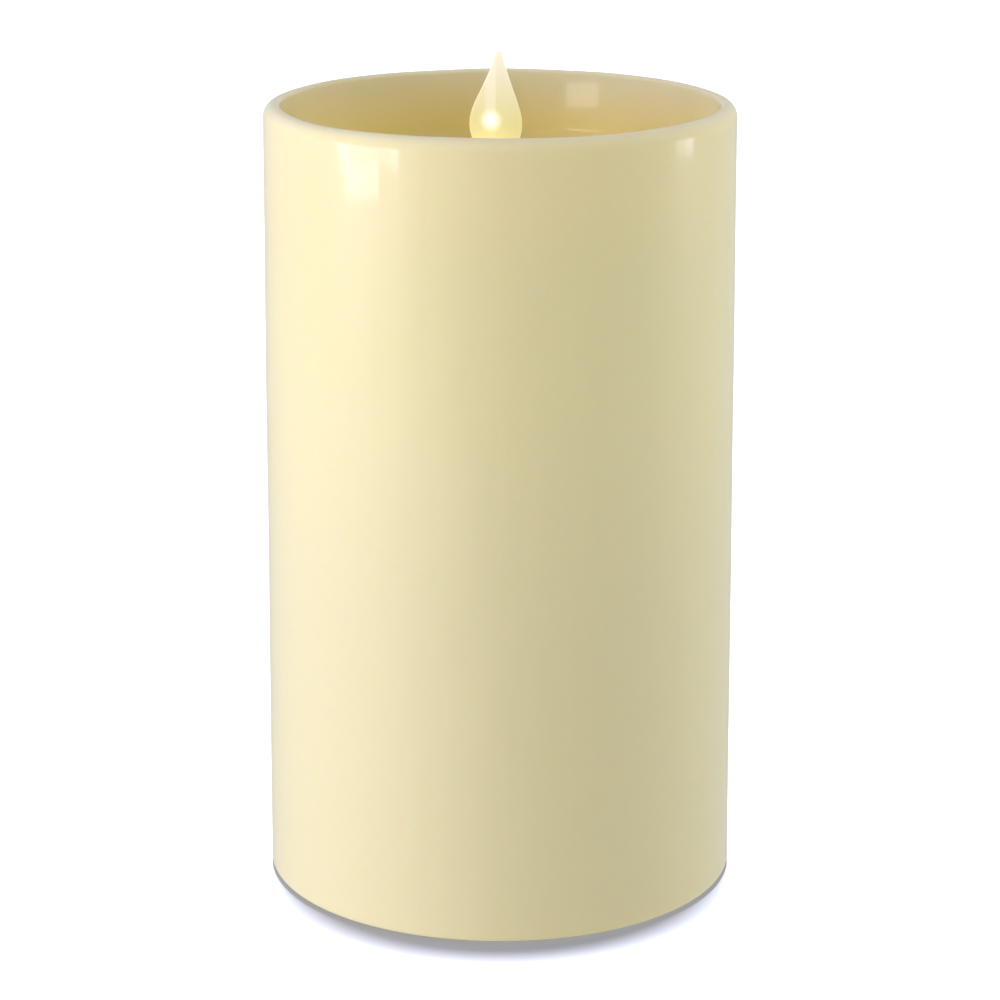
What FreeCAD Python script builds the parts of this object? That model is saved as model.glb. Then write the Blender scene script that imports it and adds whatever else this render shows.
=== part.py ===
"""Flameless LED pillar candle with a swinging flame, as a parametric FreeCAD document.

Millimetres. The frame's origin is on the table under the candle's middle, +Z is up and -Y is the
front, the side that the flame's broad face looks to. Every size comes from the sheet "dims".
"""

import FreeCAD, Part

import math
import os

import Sketcher

Vector = FreeCAD.Vector
Rotation = FreeCAD.Rotation
X_AXIS, Y_AXIS, Z_AXIS = Vector(1, 0, 0), Vector(0, 1, 0), Vector(0, 0, 1)

# ---------------------------------------------------------------- driving dimensions

DIMENSIONS = {
    # wax pillar
    "wax_diameter": 102,
    "rim_diameter": 100,
    "rim_height": 170,
    "wax_lift": 0.6,
    "wax_wall": 3.7,
    "recess_depth": 19,
    "recess_dish": 1.5,
    "wax_floor": 5,
    "wax_hole": 24,
    "rim_outer_round": 2.7,
    "rim_inner_round": 0.9,
    "recess_round": 6,
    "hole_round": 1.6,
    "skirt_round": 1.2,
    # flame leaf and its pendulum
    "flame_tip": 180.4,
    "flame_tip_round": 0.8,
    "flame_belly": 164.9,
    "flame_foot": 157,
    "flame_width": 11.1,
    "flame_tip_shift": -0.3,
    "flame_shift": -0.9,
    "leaf_edge": 0.9,
    "leaf_ridge": 2.1,
    "stem_width": 4,
    "stem_thickness": 1.2,
    "pivot_height": 139,
    "eye_radius": 0.42,
    "eye_boss": 2.3,
    "wire_radius": 0.35,
    "magnet_top": 125,
    "magnet_radius": 3,
    "magnet_length": 4,
    "leaf_density": 1.1,
    "magnet_density": 7.5,
    # flame module: case halves, cap, coil, board and lamp
    "case_half_width": 15,
    "case_half_depth": 15.2,
    "case_wall": 1.8,
    "case_bottom": 105,
    "case_top": 142.7,
    "case_mouth_width": 17,
    "case_corner": 2,
    "case_post_inset": 2.2,
    "case_post_radius": 1.8,
    "lead_hole_radius": 4,
    "mouth_front": 11,
    "mouth_back": 4.5,
    "ear_reach": 5.5,
    "ear_width": 10,
    "ear_thickness": 2.5,
    "lug_reach": 5,
    "lug_height": 8,
    "lug_middle": 124,
    "lug_thickness": 3,
    "cap_radius": 11.7,
    "cap_flange": 15,
    "cap_flange_top": 144.3,
    "cap_top": 148.4,
    "cap_round": 0.8,
    "slot_half_width": 5.2,
    "slot_front": 9,
    "slot_back": 3.6,
    "slot_corner": 3,
    "board_bottom": 109,
    "board_thickness": 1.2,
    "board_half_width": 12.6,
    "board_half_depth": 12.6,
    "coil_radius": 6.5,
    "coil_core": 2.2,
    "coil_height": 7,
    "coil_flange": 0.8,
    "coil_bore": 0.8,
    "lamp_radius": 2.5,
    "lamp_rim": 2.9,
    "lamp_length": 8.6,
    "lamp_tilt": 14,
    "lamp_tip": 136.5,
    "lamp_rim_thickness": 1,
    "leg_pitch": 2.54,
    "leg_radius": 0.25,
    "holder_half_width": 4.2,
    # column between the battery case and the flame module
    "column_bottom": 33,
    "column_radius": 13,
    "column_wall": 1.8,
    "column_foot_radius": 27,
    "column_head_radius": 24,
    "column_plate": 2.2,
    "rib_reach": 24,
    "rib_top": 52,
    "rib_thickness": 1.8,
    "rib_count": 8,
    "window_width": 8,
    "window_height": 9,
    # base moulding with the battery case
    "base_radius": 46.3,
    "base_bottom": 1.6,
    "base_plate": 2.4,
    "base_skirt_wall": 1.8,
    "base_skirt_top": 14,
    "base_chamfer": 0.5,
    "grip_count": 8,
    "grip_width": 2,
    "grip_foot": 5,
    "box_half_width": 29,
    "box_half_length": 31,
    "box_wall": 2,
    "box_roof": 2,
    "valley_screw": 20,
    "boss_radius": 3.4,
    "boss_depth": 3.6,
    "boss_floor": 0.8,
    "barrel_room": 2,
    "socket_wall": 2.6,
    "socket_block": 4.5,
    "groove_half_width": 9,
    "groove_length": 7,
    "groove_depth": 1.4,
    # battery door
    "door_half_width": 28,
    "door_front": 31.6,
    "door_back": 30.6,
    "door_gap": 0.4,
    "hinge_gap": 1,
    "door_bottom": 1.7,
    "door_top": 3.3,
    "hinge_back": 33.4,
    "hinge_height": 3.3,
    "barrel_radius": 1.5,
    "barrel_half": 14,
    "trunnion_radius": 0.9,
    "trunnion_reach": 3,
    "socket_clearance": 0.1,
    "door_corner": 1.5,
    "door_rib_thickness": 2,
    "thumb_groove_half": 8,
    "thumb_groove_width": 0.9,
    "thumb_groove_pitch": 2,
    "thumb_groove_depth": 0.4,
    "latch_wall": 1.3,
    "latch_catch_top": 1.1,
    "latch_catch_bottom": 2.5,
    "latch_half_width": 5,
    "latch_top": 9.5,
    "latch_swing": 0.7,
    "door_rib_top": 6.8,
    "door_rib_reach": 25,
    # cells and contacts
    "cell_radius": 13.1,
    "cell_length": 50,
    "cell_spacing": 26.8,
    "cell_height": 17.1,
    "cell_dish": 0.4,
    "nub_radius": 3.1,
    "nub_length": 1.6,
    "contact_thickness": 0.4,
    "contact_half_width": 5,
    "contact_half_height": 6,
    "dimple": 1.2,
    "dimple_radius": 2.2,
    "tab_top": 36.5,
    "tab_half_width": 1.5,
    "spring_wire": 0.35,
    "spring_turns": 3.5,
    "spring_small": 4,
    "spring_flare": 2.6,
    "spring_clearance": 0.04,
    # slide switch
    "switch_across": 37,
    "switch_bottom": 4.4,
    "switch_half_width": 2.9,
    "switch_half_length": 8.5,
    "switch_tall": 6,
    "switch_ear": 0.6,
    "switch_ear_reach": 4.5,
    "switch_screw_inset": 2.4,
    "switch_slot_half": 1,
    "switch_slot_depth": 1.6,
    "pin_pitch": 3.4,
    "pin_length": 3.2,
    "pin_width": 0.8,
    "pin_thickness": 0.3,
    "knob_half_width": 1.6,
    "knob_half_length": 2.1,
    "knob_travel": 8,
    "knob_play": 0.25,
    "knob_well_side": 2.2,
    "knob_well_end": 2,
    "knob_well_depth": 0.9,
    # feet
    "foot_radius": 4,
    "foot_height": 2,
    "foot_across": 36,
    "foot_along": 19,
    "foot_round": 0.6,
    # insulated leads
    "lead_radius": 0.7,
    "lead_bend": 5,
    # screws
    "screw_hole": 1.1,
    "screw_play": 0.1,
    "screw_head": 2.2,
    "screw_head_height": 1.5,
    "screw_socket_radius": 0.9,
    "screw_socket_depth": 0.8,
}

doc = FreeCAD.newDocument("LedCandle")
sheet = doc.addObject("Spreadsheet::Sheet", "dims")
for row, (alias, number) in enumerate(DIMENSIONS.items(), 1):
    sheet.set(f"A{row}", alias)
    sheet.set(f"B{row}", str(number))
    sheet.setAlias(f"B{row}", alias)
doc.recompute()


class Size:
    """A length with its value in millimetres and the spreadsheet expression it stands for."""

    def __init__(self, value, text):
        self.value, self.text = float(value), text

    @staticmethod
    def of(other):
        return other if isinstance(other, Size) else Size(other, repr(float(other)))

    def __add__(self, other):
        other = Size.of(other)
        return Size(self.value + other.value, f"({self.text} + {other.text})")

    def __sub__(self, other):
        other = Size.of(other)
        return Size(self.value - other.value, f"({self.text} - {other.text})")

    def __mul__(self, other):
        other = Size.of(other)
        return Size(self.value * other.value, f"({self.text} * {other.text})")

    def __truediv__(self, other):
        other = Size.of(other)
        return Size(self.value / other.value, f"({self.text} / {other.text})")

    def __neg__(self):
        return self * -1

    def __rsub__(self, other):
        return Size.of(other) - self

    __radd__ = __add__
    __rmul__ = __mul__


class Dims:
    """The sheet's cells as attributes, so that a formula in Python is also a formula in the document."""

    def __getattr__(self, alias):
        return Size(sheet.get(alias), "dims." + alias)


d = Dims()
ZERO = Size(0, "0")
subparts = []

# ---------------------------------------------------------------- modelling helpers


def keep(obj, label):
    """Names a finished sub-part and lists it for export."""
    obj.Label = label
    subparts.append(obj)
    return obj


def body(label):
    return keep(doc.addObject("PartDesign::Body", "Body_" + label), label)


def origin_feature(owner, role):
    """One of the body's own origin planes or axes."""
    return next(o for o in owner.Origin.OriginFeatures if o.Role == role)


def sketch_on(owner, plane, offset=ZERO):
    """A sketch on one of the body's origin planes, moved along the plane's normal by offset."""
    sketch = owner.newObject("Sketcher::SketchObject", "Sketch")
    sketch.AttachmentSupport = [(origin_feature(owner, plane), "")]
    sketch.MapMode = "FlatFace"
    sketch.AttachmentOffset = FreeCAD.Placement(Vector(0, 0, offset.value), Rotation())
    sketch.setExpression("AttachmentOffset.Base.z", offset.text)
    return sketch


def constrain(sketch, kind, size, *target):
    index = sketch.addConstraint(Sketcher.Constraint(kind, *target, size.value))
    sketch.setExpression(f"Constraints[{index}]", size.text)


def fix_point(sketch, geometry, point, u, v):
    """Ties one point of the sketch to its origin by two sizes."""
    constrain(sketch, "DistanceX", u, -1, 1, geometry, point)
    constrain(sketch, "DistanceY", v, -1, 1, geometry, point)


def outline(sketch, corners):
    """A closed run of straight edges through the corners, each a pair of sizes."""
    corners = [(Size.of(u), Size.of(v)) for u, v in corners]
    first, count = sketch.GeometryCount, len(corners)
    for i, (u, v) in enumerate(corners):
        next_u, next_v = corners[(i + 1) % count]
        start, end = Vector(u.value, v.value, 0), Vector(next_u.value, next_v.value, 0)
        sketch.addGeometry(Part.LineSegment(start, end))
    for i in range(count):
        following = first + (i + 1) % count
        sketch.addConstraint(Sketcher.Constraint("Coincident", first + i, 2, following, 1))
    for i, (u, v) in enumerate(corners):
        fix_point(sketch, first + i, 1, u, v)


def rectangle(sketch, u0, u1, v0, v1):
    outline(sketch, [(u0, v0), (u1, v0), (u1, v1), (u0, v1)])


def circle(sketch, u, v, radius):
    u, v, radius = Size.of(u), Size.of(v), Size.of(radius)
    geometry = sketch.addGeometry(Part.Circle(Vector(u.value, v.value, 0), Z_AXIS, radius.value))
    fix_point(sketch, geometry, 3, u, v)
    constrain(sketch, "Radius", radius, geometry)


def revolve(owner, corners):
    """Turns an outline in the XZ plane, given as (radius, height) corners, about Z."""
    sketch = sketch_on(owner, "XZ_Plane")
    outline(sketch, corners)
    feature = owner.newObject("PartDesign::Revolution", "Revolution")
    feature.Profile = sketch
    feature.ReferenceAxis = (sketch, ["V_Axis"])
    feature.Angle = 360
    doc.recompute()
    return feature


def pad(owner, sketch, length, reverse=False, midplane=False):
    feature = owner.newObject("PartDesign::Pad", "Pad")
    feature.Profile = sketch
    feature.Length = length.value
    feature.setExpression("Length", length.text)
    feature.Reversed = reverse
    feature.Midplane = midplane
    doc.recompute()
    return feature


def pocket(owner, sketch, length, reverse=False, midplane=False):
    """Cuts a pocket and stops the build if it took nothing away."""
    before = owner.Shape.Volume
    feature = owner.newObject("PartDesign::Pocket", "Pocket")
    feature.Profile = sketch
    feature.Length = length.value
    feature.setExpression("Length", length.text)
    feature.Reversed = reverse
    feature.Midplane = midplane
    doc.recompute()
    if owner.Shape.Volume > before - 1e-6:
        raise RuntimeError(f"{owner.Label}: a pocket cut nothing")
    return feature


def ordered(one, other):
    """Two sizes with the smaller first."""
    return (one, other) if one.value < other.value else (other, one)


def block(owner, x0, x1, y0, y1, z0, z1, cut=False):
    """Adds, or cuts, a box given by its six faces."""
    sketch = sketch_on(owner, "XY_Plane", Size.of(z0))
    rectangle(sketch, x0, x1, y0, y1)
    make = pocket if cut else pad
    return make(owner, sketch, Size.of(z1) - z0, reverse=cut)


def round_bar(owner, x, y, radius, z0, z1, cut=False):
    """Adds, or cuts, an upright cylinder."""
    sketch = sketch_on(owner, "XY_Plane", Size.of(z0))
    circle(sketch, x, y, radius)
    make = pocket if cut else pad
    return make(owner, sketch, Size.of(z1) - z0, reverse=cut)


def edges_where(shape, test):
    """The names of the shape's edges whose middle point, radius and ends pass the test."""
    found = []
    for number, edge in enumerate(shape.Edges, 1):
        middle = edge.valueAt((edge.FirstParameter + edge.LastParameter) / 2)
        if test(edge, middle):
            found.append(f"Edge{number}")
    return found


def soften(owner, kind, size, test):
    """A Fillet or Chamfer on the edges of the body's tip that pass the test."""
    names = edges_where(owner.Shape, test)
    if not names:
        raise RuntimeError(f"{owner.Label}: no edge to soften")
    feature = owner.newObject("PartDesign::" + kind, kind)
    feature.Base = (owner.Tip if owner.Tip != feature else feature.BaseFeature, names)
    parameter = "Radius" if kind == "Fillet" else "Size"
    setattr(feature, parameter, size.value)
    feature.setExpression(parameter, size.text)
    doc.recompute()
    return feature


def ring_edge(radius, height, slack=0.01):
    """A test for the circular edge of that radius about Z at that height."""

    def test(edge, middle):
        if not isinstance(edge.Curve, Part.Circle):
            return False
        on_axis = math.hypot(edge.Curve.Center.x, edge.Curve.Center.y) < slack
        same_size = abs(edge.Curve.Radius - radius.value) < slack
        return on_axis and same_size and abs(middle.z - height.value) < slack

    return test


def upright_edge(edge, _middle):
    """A test for straight edges that run along Z."""
    if not isinstance(edge.Curve, Part.Line):
        return False
    return abs(abs(edge.tangentAt(edge.FirstParameter).z) - 1) < 1e-6


def place(obj, x, y, z, rotation=None):
    """Sets an object's place from three sizes."""
    sizes = [Size.of(x), Size.of(y), Size.of(z)]
    point = Vector(*[size.value for size in sizes])
    obj.Placement = FreeCAD.Placement(point, rotation or Rotation())
    for name, size in zip("xyz", sizes):
        obj.setExpression(f"Placement.Base.{name}", size.text)
    return obj


def set_size(obj, parameter, size):
    size = Size.of(size)
    setattr(obj, parameter, size.value)
    obj.setExpression(parameter, size.text)


def cylinder(radius, height, x, y, z, rotation=None):
    obj = doc.addObject("Part::Cylinder", "Cylinder")
    set_size(obj, "Radius", radius)
    set_size(obj, "Height", height)
    return place(obj, x, y, z, rotation)


def sphere(radius, x, y, z):
    obj = doc.addObject("Part::Sphere", "Sphere")
    set_size(obj, "Radius", radius)
    return place(obj, x, y, z)


def box(x0, x1, y0, y1, z0, z1):
    obj = doc.addObject("Part::Box", "Box")
    set_size(obj, "Length", Size.of(x1) - x0)
    set_size(obj, "Width", Size.of(y1) - y0)
    set_size(obj, "Height", Size.of(z1) - z0)
    return place(obj, x0, y0, z0)


def fuse(*shapes):
    obj = doc.addObject("Part::MultiFuse", "Fuse")
    obj.Shapes = list(shapes)
    obj.Refine = True
    return obj


def cut(base, *tools):
    obj = doc.addObject("Part::Cut", "Cut")
    obj.Base = base
    obj.Tool = tools[0] if len(tools) == 1 else fuse(*tools)
    return obj


def group(*solids):
    """Several separate solids that share one node."""
    obj = doc.addObject("Part::Compound", "Group")
    obj.Links = list(solids)
    return obj


TO_PLUS_X = Rotation(Y_AXIS, 90)
TO_PLUS_Y = Rotation(X_AXIS, -90)
TO_MINUS_Y = Rotation(X_AXIS, 90)

# ---------------------------------------------------------------- wax pillar

wax_radius = d.wax_diameter / 2
wax_bore = wax_radius - d.wax_wall
rim_radius = d.rim_diameter / 2
rim_bore = rim_radius - d.wax_wall
recess_floor = d.rim_height - d.recess_depth
hole_top = recess_floor - d.recess_dish
wax_underside = hole_top - d.wax_floor
hole_radius = d.wax_hole / 2


def make_wax_shell():
    """The poured pillar: a tube with a little draft, a dished floor below the rim and the flame's hole."""
    shell = body("wax_shell")
    revolve(
        shell,
        [
            (wax_radius, d.wax_lift),
            (rim_radius, d.rim_height),
            (rim_bore, d.rim_height),
            (rim_bore, recess_floor),
            (hole_radius, hole_top),
            (hole_radius, wax_underside),
            (wax_bore, wax_underside),
            (wax_bore, d.wax_lift),
        ],
    )
    soften(shell, "Fillet", d.recess_round, ring_edge(rim_bore, recess_floor))
    soften(shell, "Fillet", d.hole_round, ring_edge(hole_radius, hole_top))
    soften(shell, "Fillet", d.rim_outer_round, ring_edge(rim_radius, d.rim_height))
    soften(shell, "Fillet", d.rim_inner_round, ring_edge(rim_bore, d.rim_height))
    soften(shell, "Fillet", d.skirt_round, ring_edge(wax_radius, d.wax_lift))


# ---------------------------------------------------------------- base moulding and door

base_top = d.base_bottom + d.base_plate
box_inner_width = d.box_half_width - d.box_wall
box_inner_length = d.box_half_length - d.box_wall
box_roof_under = d.column_bottom - d.box_roof
foot_well = d.foot_height - d.base_bottom
switch_screw_along = d.switch_half_length + d.switch_screw_inset
switch_screw_depth = Size.of(1.8)
ledge = d.door_top + 0.1
barrel_end = d.barrel_half + 0.3


def make_base():
    """Round base plate with a skirt, the battery case's walls and roof, and the switch's slot."""
    base = body("base_housing")
    skirt_bore = d.base_radius - d.base_skirt_wall
    revolve(
        base,
        [
            (0, d.base_bottom),
            (d.base_radius, d.base_bottom),
            (d.base_radius, d.base_skirt_top),
            (skirt_bore, d.base_skirt_top),
            (skirt_bore, base_top),
            (0, base_top),
        ],
    )
    soften(base, "Chamfer", d.base_chamfer, ring_edge(d.base_radius, d.base_bottom))
    add_grip_ribs(base)
    width, length = d.box_half_width, d.box_half_length
    block(base, -width, width, -length, length, d.base_bottom, d.column_bottom)
    for side in (-1, 1):
        low, high = ordered(side * barrel_end, side * (barrel_end + d.socket_block))
        block(base, low, high, length - 0.5, d.hinge_back + d.socket_wall,
              d.base_bottom, d.hinge_height + d.socket_wall)
    below = d.base_bottom - 1
    width, length = box_inner_width, box_inner_length
    block(base, -width, width, -length, length, below, box_roof_under, cut=True)
    cut_door_room(base, below)
    cut_switch_room(base, below)
    # bosses for the column's screws, in the valley between the cells
    boss_bottom = box_roof_under - d.boss_depth
    for side in (-1, 1):
        along = side * d.valley_screw
        round_bar(base, 0, along, d.boss_radius, boss_bottom, box_roof_under)
        round_bar(base, 0, along, d.screw_hole, boss_bottom + d.boss_floor, d.column_bottom + 1, cut=True)
    # wells for the feet, and slots in the roof for the contacts' solder tabs
    for x_side in (-1, 1):
        for y_side in (-1, 1):
            round_bar(base, x_side * d.foot_across, y_side * d.foot_along, d.foot_radius + 0.05,
                      below, d.base_bottom + foot_well, cut=True)
        tab = x_side * d.cell_spacing / 2
        slot = d.tab_half_width + 0.3
        block(base, tab - slot, tab + slot, -length, -length + 0.7,
              box_roof_under - 1, d.column_bottom + 1, cut=True)


def add_grip_ribs(base):
    """Small upright ribs on the skirt, which grip the inside of the wax."""
    reach = wax_bore - 0.05
    sketch = sketch_on(base, "XY_Plane", d.grip_foot)
    rectangle(sketch, d.base_radius - 1, reach, -d.grip_width / 2, d.grip_width / 2)
    rib = pad(base, sketch, d.base_skirt_top - 1 - d.grip_foot)
    ring = base.newObject("PartDesign::PolarPattern", "GripRibs")
    ring.Originals = [rib]
    ring.Axis = (origin_feature(base, "Z_Axis"), [""])
    ring.Angle = 360
    ring.Occurrences = int(d.grip_count.value)
    ring.setExpression("Occurrences", d.grip_count.text)
    base.Tip = ring
    doc.recompute()


def cut_door_room(base, below):
    """The shallow recess that the door lies in, its hinge, its latch's window and a nail groove."""
    across = d.door_half_width + d.door_gap
    front, back = -d.door_front - d.door_gap, d.door_back + d.hinge_gap
    block(base, -across, across, front, back, below, ledge, cut=True)
    block(base, -barrel_end, barrel_end, d.box_half_length, d.hinge_back + d.barrel_room,
          below, d.hinge_height + d.socket_wall, cut=True)
    groove = d.groove_half_width
    block(base, -groove, groove, -d.door_front - d.groove_length, -d.door_front,
          below, d.base_bottom + d.groove_depth, cut=True)
    window = d.latch_half_width + 1
    block(base, -window, window, -d.box_half_length - d.latch_swing, -box_inner_length + 0.1,
          ledge - 0.1, d.latch_top + 2.5, cut=True)
    # hinge sockets, bored outwards from the barrel's gap
    for side in (-1, 1):
        sketch = sketch_on(base, "YZ_Plane", side * barrel_end)
        circle(sketch, d.hinge_back, d.hinge_height, d.trunnion_radius + d.socket_clearance)
        pocket(base, sketch, d.trunnion_reach + 0.2, reverse=side > 0)


def cut_switch_room(base, below):
    """A shallow well for the switch's knob, the slot that the knob slides in, and two screw holes."""
    reach = d.knob_travel / 2 + d.knob_half_length
    across = d.switch_across
    well, well_end = d.knob_half_width + d.knob_well_side, reach + d.knob_well_end
    block(base, across - well, across + well, -well_end, well_end,
          below, d.base_bottom + d.knob_well_depth, cut=True)
    slot, slot_end = d.knob_half_width + d.knob_play, reach + d.knob_play
    block(base, across - slot, across + slot, -slot_end, slot_end, d.base_bottom, base_top + 1, cut=True)
    for side in (-1, 1):
        round_bar(base, across, side * switch_screw_along, d.screw_hole,
                  base_top - switch_screw_depth, base_top + 1, cut=True)


def make_door():
    """The hinged battery door: panel, hinge barrel with trunnions, stiffening rib and snap latch."""
    door = body("battery_door")
    width = d.door_half_width
    block(door, -width, width, -d.door_front, d.door_back, d.door_bottom, d.door_top)
    soften(door, "Fillet", d.door_corner, upright_edge)
    arm = d.barrel_half
    block(door, -arm, arm, d.door_back - 0.5, d.hinge_back, d.door_bottom, d.door_top)
    for radius, half in ((d.barrel_radius, arm), (d.trunnion_radius, arm + d.trunnion_reach)):
        sketch = sketch_on(door, "YZ_Plane")
        circle(sketch, d.hinge_back, d.hinge_height, radius)
        pad(door, sketch, half * 2, midplane=True)
    inside, rib = d.door_top - 0.2, d.door_rib_thickness / 2
    block(door, -rib, rib, -d.door_rib_reach, d.door_rib_reach, inside, d.door_rib_top)
    latch, wall = d.latch_half_width, -d.box_half_length
    block(door, -latch, latch, wall + 0.1, wall + d.latch_wall, inside, d.latch_top)
    block(door, -latch, latch, wall, wall + 0.3,
          d.latch_top - d.latch_catch_bottom, d.latch_top - d.latch_catch_top)
    # thumb grip: shallow grooves across the panel near the latch
    grip = d.thumb_groove_half
    for step in range(4):
        start = step * d.thumb_groove_pitch - d.door_rib_reach
        block(door, -grip, grip, start, start + d.thumb_groove_width,
              d.door_bottom - 1, d.door_bottom + d.thumb_groove_depth, cut=True)


def make_feet():
    for number, (x_side, y_side) in enumerate([(-1, -1), (1, -1), (1, 1), (-1, 1)], 1):
        foot = body(f"foot_{number}")
        sketch = sketch_on(foot, "XY_Plane")
        circle(sketch, x_side * d.foot_across, y_side * d.foot_along, d.foot_radius)
        pad(foot, sketch, d.foot_height)
        soften(foot, "Fillet", d.foot_round, lambda _edge, middle: abs(middle.z) < 1e-6)


# ---------------------------------------------------------------- cells and contacts

plus_wall = box_inner_length


def make_cells():
    """Two C cells side by side, head to tail. Each is turned about its own long axis."""
    ends = d.cell_length
    shoulder = ends - d.nub_length
    for number, side in ((1, -1), (2, 1)):
        cell = body(f"battery_{number}")
        revolve(
            cell,
            [
                (0, d.cell_dish),
                (d.cell_radius - 3.4, d.cell_dish),
                (d.cell_radius - 3, 0),
                (d.cell_radius - 0.4, 0),
                (d.cell_radius, 0.4),
                (d.cell_radius, shoulder - 0.8),
                (d.cell_radius - 0.8, shoulder),
                (d.nub_radius + 3, shoulder),
                (d.nub_radius + 2.6, shoulder - 0.4),
                (d.nub_radius, shoulder - 0.4),
                (d.nub_radius, ends - 0.3),
                (d.nub_radius - 0.3, ends),
                (0, ends),
            ],
        )
        # the left cell points to the back wall, the right one to the front wall
        tail = side * (d.cell_length + d.dimple + d.contact_thickness - plus_wall)
        turn = TO_PLUS_Y if side < 0 else TO_MINUS_Y
        place(cell, side * d.cell_spacing / 2, tail, d.cell_height, turn)


def contact_plate(owner, x, wall_side, low, high, half_width):
    """A sheet-metal contact that stands against the battery case's end wall."""
    face = wall_side * plus_wall
    inner = wall_side * (plus_wall - d.contact_thickness)
    y0, y1 = (inner, face) if wall_side > 0 else (face, inner)
    block(owner, x - half_width, x + half_width, y0, y1, low, high)


def dimple_on(owner, x, wall_side):
    """The pressed dimple that meets a cell's positive nub."""
    sketch = sketch_on(owner, "XZ_Plane", -wall_side * (plus_wall - d.contact_thickness))
    circle(sketch, x, d.cell_height, d.dimple_radius)
    pad(owner, sketch, d.dimple, reverse=wall_side < 0)


def make_contacts():
    low, high = d.cell_height - d.contact_half_height, d.cell_height + d.contact_half_height
    half = d.contact_half_width
    spacing = d.cell_spacing / 2
    for label, side, has_dimple in (("contact_positive", 1, True), ("contact_negative", -1, False)):
        contact = body(label)
        across = side * spacing
        contact_plate(contact, across, -1, low, high, half)
        contact_plate(contact, across, -1, high - 0.2, d.tab_top, d.tab_half_width)
        if has_dimple:
            dimple_on(contact, across, -1)
    link = body("contact_link")
    contact_plate(link, -spacing, 1, low, high, half)
    contact_plate(link, spacing, 1, low, high, half)
    contact_plate(link, 0 * spacing, 1, d.cell_height - 2, d.cell_height + 2, spacing - half + 0.5)
    dimple_on(link, -spacing, 1)


def conical_spring(label, x, wall_side):
    """A battery spring: a conical helix from the contact plate to the cell's flat end."""
    wire = d.spring_wire.value
    plate = plus_wall.value - d.contact_thickness.value
    room = 2 * (plus_wall - d.contact_thickness).value - (d.cell_length + d.dimple - d.cell_dish).value
    turns, small, clearance = d.spring_turns.value, d.spring_small.value, d.spring_clearance.value
    rise = room - 2 * (wire + clearance)
    apex = math.degrees(math.atan2(d.spring_flare.value, rise))
    helix = Part.makeHelix(rise / turns, rise, small, apex)
    start = helix.Edges[0]
    tangent = start.tangentAt(start.FirstParameter)
    section = Part.Wire([Part.makeCircle(wire, start.valueAt(start.FirstParameter), tangent)])
    solid = Part.Wire(helix.Edges).makePipeShell([section], True, True)
    # the helix grows away from the cell, so its narrow end starts against the cell
    spring = keep(doc.addObject("Part::Feature", "Spring"), label)
    spring.Shape = solid
    turn = TO_PLUS_Y if wall_side > 0 else TO_MINUS_Y
    base = wall_side * (plate - room + wire + clearance)
    spring.Placement = FreeCAD.Placement(Vector(x.value, base, d.cell_height.value), turn)


# ---------------------------------------------------------------- slide switch


def make_switch():
    """Metal-cased slide switch above the base plate, with its moulded knob in the base's slot."""
    across, low = d.switch_across, d.switch_bottom
    high = low + d.switch_tall
    half_width, half_length = d.switch_half_width, d.switch_half_length
    case = body("switch_case")
    block(case, across - half_width, across + half_width, -half_length, half_length, low, high)
    ear = half_length + d.switch_ear_reach
    block(case, across - half_width, across + half_width, -ear, ear, low, low + d.switch_ear)
    slot, reach = d.switch_slot_half, d.knob_travel / 2 + 1.2
    block(case, across - slot, across + slot, -reach, reach, low - 1, low + d.switch_slot_depth, cut=True)
    for side in (-1, 1):
        round_bar(case, across, side * switch_screw_along, d.screw_hole + 0.05, low - 1, low + 2, cut=True)
    pins = []
    pin, thin = d.pin_width / 2, d.pin_thickness / 2
    for step in (-1, 0, 1):
        middle = step * d.pin_pitch
        low_side, high_side = middle - thin, middle + thin
        pins.append(box(across - pin, across + pin, low_side, high_side, high, high + d.pin_length))
    keep(group(*pins), "switch_pins")

    knob = body("switch_knob")
    middle = -d.knob_travel / 2
    length = d.knob_half_length
    block(knob, across - d.knob_half_width, across + d.knob_half_width, middle - length, middle + length,
          d.base_bottom + 0.1, low - 0.15)
    block(knob, across - 0.8, across + 0.8, middle - 1, middle + 1, low - 0.3, low + 1.4)
    for step in (-1, 0, 1):
        ridge = middle + step * 1.25
        block(knob, across - d.knob_half_width, across + d.knob_half_width, ridge - 0.3, ridge + 0.3,
              d.base_bottom - 0.5, d.base_bottom + 0.2)


def screw(x, y, z, length, rotation=None):
    """A pan-head screw whose head sits on the plane at z, with its shank below."""
    turn = rotation or Rotation()
    down = turn.multVec(Vector(0, 0, -1))
    shank_foot = [Size.of(c) + length * k for c, k in zip((x, y, z), down)]
    shank = cylinder(d.screw_hole - d.screw_play, Size.of(length), *shank_foot, turn)
    head = cylinder(d.screw_head, d.screw_head_height, x, y, z, turn)
    up = turn.multVec(Z_AXIS)
    rise = d.screw_head_height - d.screw_socket_depth
    socket_foot = [Size.of(c) + rise * k for c, k in zip((x, y, z), up)]
    socket = cylinder(d.screw_socket_radius, d.screw_socket_depth + 0.2, *socket_foot, turn)
    return cut(fuse(shank, head), socket)


# ---------------------------------------------------------------- column

column_head_bottom = d.case_bottom - d.column_plate


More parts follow.
